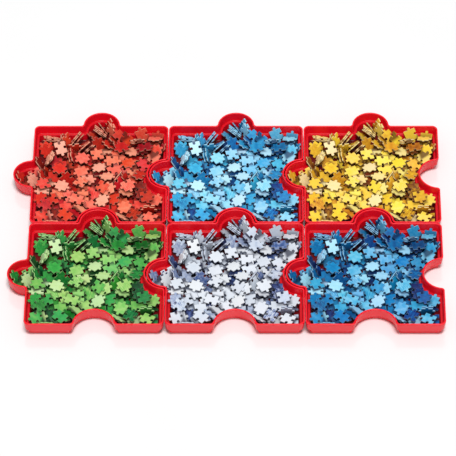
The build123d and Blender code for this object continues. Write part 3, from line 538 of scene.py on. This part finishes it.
def studio_floor():
    mat, nt, bsdf = new_material("studio_floor")
    geo = nt.nodes.new("ShaderNodeTexCoord").outputs["Object"]
    n = noise(nt, geo, 3.0, 3.0, 0.5)
    link(nt, ramp(nt, n, [(0.3, (0.90, 0.90, 0.90)), (0.7, (0.92, 0.92, 0.92))]), bsdf.inputs["Base Color"])
    link(nt, math_node(nt, "ADD", math_node(nt, "MULTIPLY", n, 0.05), 0.12), bsdf.inputs["Roughness"])
    bsdf.inputs["IOR"].default_value = 2.7
    return mat


# -------------------------------------------------------------- piece meshes
def circle_through(a, m, b):
    ax, ay = a
    bx, by = m
    cx, cy = b
    d = 2 * (ax * (by - cy) + bx * (cy - ay) + cx * (ay - by))
    ux = ((ax * ax + ay * ay) * (by - cy) + (bx * bx + by * by) * (cy - ay) + (cx * cx + cy * cy) * (ay - by)) / d
    uy = ((ax * ax + ay * ay) * (cx - bx) + (bx * bx + by * by) * (ax - cx) + (cx * cx + cy * cy) * (bx - ax)) / d
    return ux, uy


def outline_points(width, depth, sides, arc_steps=13):
    """Counter-clockwise outline of a piece with its sharp corners softened, in mm."""
    frames = (
        ((0, -depth / 2), (1, 0), (0, -1), width),
        ((width / 2, 0), (0, 1), (1, 0), depth),
        ((0, depth / 2), (-1, 0), (0, 1), width),
        ((-width / 2, 0), (0, -1), (-1, 0), depth),
    )
    pts = []
    for (o, d, n, length), (kind, offset, size) in zip(frames, sides):
        def at(t, m):
            return (o[0] + d[0] * t + n[0] * m, o[1] + d[1] * t + n[1] * m)
        # rounded corner of the body
        pts.append(at(-length / 2 + 0.12, 0))
        if kind:
            half = math.sqrt(HEAD_R ** 2 - HEAD_C ** 2) * size
            peak = kind * (HEAD_C + HEAD_R) * size
            pts.append(at(offset - half - 2.4, 0))
            pts.append(at(offset - half - 0.55, 0))
            a, m, b = at(offset - half, 0), at(offset, peak), at(offset + half, 0)
            c = circle_through(a, m, b)
            r = math.dist(a, c)
            t0 = math.atan2(a[1] - c[1], a[0] - c[0])
            tm = math.atan2(m[1] - c[1], m[0] - c[0])
            t1 = math.atan2(b[1] - c[1], b[0] - c[0])
            turn = 2 * math.pi
            if (tm - t0) % turn < (t1 - t0) % turn:
                sweep = (t1 - t0) % turn
            else:
                sweep = -((t0 - t1) % turn)
            for k in range(arc_steps):
                f = (k + 0.75) / (arc_steps + 0.5)
                t = t0 + sweep * f
                pts.append((c[0] + r * math.cos(t), c[1] + r * math.sin(t)))
            pts.append(at(offset + half + 0.55, 0))
            pts.append(at(offset + half + 2.4, 0))
        pts.append(at(length / 2 - 0.12, 0))
    return np.array(pts)


def inward(pts, distance):
    """The outline drawn in by a distance, by less wherever a full step would fold it over."""
    prev = np.roll(pts, 1, axis=0)
    nxt = np.roll(pts, -1, axis=0)
    e1 = pts - prev
    e2 = nxt - pts
    e1 = e1 / np.linalg.norm(e1, axis=1)[:, None]
    e2 = e2 / np.linalg.norm(e2, axis=1)[:, None]
    n1 = np.c_[-e1[:, 1], e1[:, 0]]
    n2 = np.c_[-e2[:, 1], e2[:, 0]]
    n = n1 + n2
    n /= np.linalg.norm(n, axis=1)[:, None]
    scale = 1.0 / np.maximum(0.7, (n * n1).sum(axis=1))
    reach = np.full(len(pts), distance) * scale
    base = nxt - pts
    for _ in range(60):
        ring = pts + n * reach[:, None]
        step = np.roll(ring, -1, axis=0) - ring
        kept = (step * base).sum(axis=1) / (base * base).sum(axis=1)
        bad = kept < 0.15
        if not bad.any():
            break
        reach[bad | np.roll(bad, 1)] *= 0.8
    return pts + n * reach[:, None]


class Proto:
    """Cross-section rings of one piece outline: crisp underside, rolled top edge."""

    def __init__(self, width, depth, sides):
        base = outline_points(width, depth, sides)
        n = len(base)
        h = PIECE_T / 2
        # each ring: inset, height, and how strongly the paler top rim shows there, a rim that is partly wear and partly
        # painted highlight
        rings = [
            (0.10, -h, 0.0), (0.0, -h + 0.12, 0.0), (0.0, h - 0.26, 0.1),
            (0.06, h - 0.09, 0.5), (0.16, h - 0.02, 0.3), (0.30, h, 0.0),
        ]
        verts, rim_wear_and_highlight = [], []
        for inset, z, w in rings:
            ring = inward(base, inset)
            verts.append(np.c_[ring, np.full(n, z)])
            rim_wear_and_highlight += [w] * n
        self.verts = np.vstack(verts)
        self.rim_wear_and_highlight = np.array(rim_wear_and_highlight)
        along = np.r_[0, np.cumsum(np.linalg.norm(np.roll(base, -1, axis=0) - base, axis=1))]
        faces, uvs, mats, smooth = [], [], [], []
        for k in range(len(rings) - 1):
            a, b = k * n, (k + 1) * n
            za, zb = rings[k][1], rings[k + 1][1]
            for i in range(n):
                j = (i + 1) % n
                faces.append((a + i, a + j, b + j, b + i))
                if k < 2:
                    mats.append(1)
                    uvs.append([(along[i] / 10, (za + h) / 20), (along[i + 1] / 10, (za + h) / 20),
                                (along[i + 1] / 10, (zb + h) / 20), (along[i] / 10, (zb + h) / 20)])
                else:
                    mats.append(0)
                    uvs.append([tuple(self.verts[v][:2] / 10) for v in faces[-1]])
                smooth.append(True)
        top = tuple((len(rings) - 1) * n + i for i in range(n))
        faces.append(top)
        mats.append(0)
        uvs.append([tuple(self.verts[v][:2] / 10) for v in top])
        smooth.append(False)
        bottom = tuple(reversed(range(n)))
        faces.append(bottom)
        mats.append(2)
        uvs.append([tuple(self.verts[v][:2] / 10) for v in bottom])
        smooth.append(False)
        self.faces, self.uvs, self.mats, self.smooth = faces, uvs, mats, smooth


def turn(a, b, c):
    a, b, c = (math.radians(v) for v in (a, b, c))
    rx = np.array([[1, 0, 0], [0, math.cos(a), -math.sin(a)], [0, math.sin(a), math.cos(a)]])
    ry = np.array([[math.cos(b), 0, math.sin(b)], [0, 1, 0], [-math.sin(b), 0, math.cos(b)]])
    rz = np.array([[math.cos(c), -math.sin(c), 0], [math.sin(c), math.cos(c), 0], [0, 0, 1]])
    return rx @ ry @ rz


protos = [Proto(*given) for given in OUTLINES]
rng = random.Random(41)
looks = [(rng.random(), rng.random(), rng.uniform(-40, 40), rng.uniform(-40, 40), rng.uniform(0, 2 * math.pi)) for _ in LYING]


def buried():
    """How far each piece lies below the pieces over it: 1 for one on top, less for one that others cover."""
    at = np.array([row[1:4] for row in LYING], float)
    kept = []
    for k in range(len(at)):
        d = np.hypot(at[:, 0] - at[k, 0], at[:, 1] - at[k, 1])
        over = np.clip((at[:, 2] - at[k, 2] - 1.0) / 6.0, 0.0, 1.3) * np.clip(1.0 - d / 17.0, 0.0, 1.0)
        kept.append(math.exp(-0.55 * float(over.sum())))
    return kept


def covers():
    """For each piece the three that press on it most: middle (mm), turn, and how dark the line along it is."""
    at = np.array([row[1:4] for row in LYING], float)
    poses = [turn(*row[4:7]) for row in LYING]
    found = []
    for k in range(len(at)):
        near = []
        for j in range(len(at)):
            rise = at[j, 2] - at[k, 2]
            away = math.hypot(at[j, 0] - at[k, 0], at[j, 1] - at[k, 1])
            if j == k or rise < 1.0 or away > 24.0 or abs(poses[j][2, 2]) < 0.6:
                continue
            strength = min(1.0, max(0.0, 1.15 - (rise - 1.9) / 9.0)) * min(1.0, max(0.0, (27.0 - away) / 8.0))
            near.append((strength, j))
        near.sort(reverse=True)
        rows = [(at[j, 0], at[j, 1], math.atan2(poses[j][1, 0], poses[j][0, 0]), w) for w, j in near[:3]]
        found.append(rows + [(0.0, 0.0, 0.0, 0.0)] * (3 - len(rows)))
    return found


open_to_light = buried()
covering = covers()


def heap_object(name, column, row, materials):
    verts, faces, uvs, mats, smooth, tones, rim_wear_and_highlight, lit, weights = [], [], [], [], [], [], [], [], []
    middles = [[], [], []]
    base = 0
    ox, oy = COLUMN[column], ROW[row]
    for (which, x, y, z, a, b, c, tone), (r1, r2, du, dv, spin), light, over in zip(LYING, looks, open_to_light, covering):
        p = protos[which]
        v = p.verts @ turn(a, b, c).T + np.array([x + ox, y + oy, z])
        verts.append(v * MM)
        faces += [tuple(base + i for i in f) for f in p.faces]
        cs, sn = math.cos(spin), math.sin(spin)
        for f, m in zip(p.uvs, p.mats):
            if m == 1:
                uvs += [(u + du, w) for u, w in f]
            else:
                uvs += [(u * cs - w * sn + du, u * sn + w * cs + dv) for u, w in f]
        mats += p.mats
        smooth += p.smooth
        tones.append(np.tile([tone / 100.0, r1, r2, 1.0], (len(v), 1)))
        rim_wear_and_highlight.append(p.rim_wear_and_highlight)
        lit.append(np.full(len(v), light))
        for k, (cx, cy, yaw, w) in enumerate(over):
            middles[k].append(np.tile([(cx + ox) * MM, (cy + oy) * MM, yaw], (len(v), 1)))
        weights.append(np.tile([0.84 * row[3] for row in over], (len(v), 1)))
        base += len(v)
    mesh = bpy.data.meshes.new(name)
    mesh.from_pydata(np.vstack(verts).tolist(), [], faces)
    mesh.polygons.foreach_set("material_index", mats)
    mesh.polygons.foreach_set("use_smooth", smooth)
    layer = mesh.uv_layers.new(name="UVMap")
    layer.data.foreach_set("uv", np.array(uvs, np.float32).ravel())
    at = mesh.attributes.new("tone", "FLOAT_COLOR", "POINT")
    at.data.foreach_set("color", np.vstack(tones).astype(np.float32).ravel())
    at = mesh.attributes.new("rim_wear_and_highlight", "FLOAT", "POINT")
    at.data.foreach_set("value", np.concatenate(rim_wear_and_highlight).astype(np.float32))
    at = mesh.attributes.new("lit", "FLOAT", "POINT")
    at.data.foreach_set("value", np.concatenate(lit).astype(np.float32))
    for title, rows in (("cover_1", middles[0]), ("cover_2", middles[1]), ("cover_3", middles[2]), ("cover_weight", weights)):
        at = mesh.attributes.new(title, "FLOAT_VECTOR", "POINT")
        at.data.foreach_set("vector", np.vstack(rows).astype(np.float32).ravel())
    mesh.set_sharp_from_angle(angle=math.radians(50))
    mesh.update()
    for m in materials:
        mesh.materials.append(m)
    ob = bpy.data.objects.new(name, mesh)
    bpy.context.scene.collection.objects.link(ob)
    return ob


# ------------------------------------------------------------------ assembly
plastic = tray_plastic()
for column in COLUMN:
    for row in ROW:
        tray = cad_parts["tray_%s_%s" % (row, column)]
        tray.data.materials.clear()
        tray.data.materials.append(plastic)
        for poly in tray.data.polygons:
            poly.use_smooth = True
        weighted = tray.modifiers.new("soften", "WEIGHTED_NORMAL")
        weighted.keep_sharp = True

for name, (column, row, colours, tint, hue_spread) in HEAPS.items():
    short = name.replace("_pieces", "")
    ob = heap_object(
        name.replace("_pieces", "_jigsaw_heap"), column, row,
        [print_face(short + "_print", colours, hue_spread), board_edge(short + "_board_edge", tint, colours),
         board_back(short + "_board_back", colours)])
    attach(ob, BODY[name])
    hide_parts(name)

# --------------------------------------------------------------------- stage
me = bpy.data.meshes.new("floor")
s = 12.0
me.from_pydata([(-s, -s, 0), (s, -s, 0), (s, s, 0), (-s, s, 0)], [], [(0, 1, 2, 3)])
floor = bpy.data.objects.new("floor", me)
bpy.context.scene.collection.objects.link(floor)
floor.location = (0, 0, -0.0004)
me.materials.append(studio_floor())

bpy.context.scene.view_settings.view_transform = "Standard"
world = bpy.data.worlds.new("studio")
bpy.context.scene.world = world
world.use_nodes = True
bg = world.node_tree.nodes["Background"]
bg.inputs[0].default_value = (1.0, 1.0, 1.0, 1.0)
bg.inputs[1].default_value = 0.40

sun_data = bpy.data.lights.new("key", "SUN")
sun_data.energy = 2.88
sun_data.angle = math.radians(18)
sun = bpy.data.objects.new("key", sun_data)
bpy.context.scene.collection.objects.link(sun)
sun.rotation_euler = Vector((-0.05, 0.26, -0.96)).to_track_quat("-Z", "Y").to_euler()


def softbox(name, at, to, size, power):
    data = bpy.data.lights.new(name, "AREA")
    data.shape = "RECTANGLE"
    data.size, data.size_y = size
    data.energy = power
    ob = bpy.data.objects.new(name, data)
    bpy.context.scene.collection.objects.link(ob)
    ob.location = at
    ob.rotation_euler = (Vector(to) - Vector(at)).to_track_quat("-Z", "Y").to_euler()
    return ob


softbox("front_fill", (-0.5, -2.6, 1.6), (0, 0, 0), (3.0, 1.2), 1.6)

# -------------------------------------------------------------------- camera
cam_data = bpy.data.cameras.new("camera")
cam = bpy.data.objects.new("camera", cam_data)
bpy.context.scene.collection.objects.link(cam)
bpy.context.scene.camera = cam
e = math.radians(46.4214)
psi = math.atan(34.0 / 3759.3)
x_axis = Vector((1, 0, 0))
look0 = Vector((0, math.cos(e), -math.sin(e)))
up = Vector((0, math.sin(e), math.cos(e)))
look = look0 * math.cos(psi) - x_axis * math.sin(psi)
right = look.cross(up)
middle = Vector((SHIFT * MM, -SHIFT * MM, HEIGHT * MM))
cam.matrix_world = Matrix((
    (right.x, up.x, -look.x, 0), (right.y, up.y, -look.y, 0), (right.z, up.z, -look.z, 0), (0, 0, 0, 1)))
cam.location = middle - look0 * 5.4590671 + up * (-0.00795577) + x_axis * 0.0387103
cam_data.sensor_width = 36.0
cam_data.lens = 36.0 * 3759.26 / 456.0
cam_data.clip_start = 0.1
cam_data.clip_end = 60.0

bpy.context.view_layer.update()
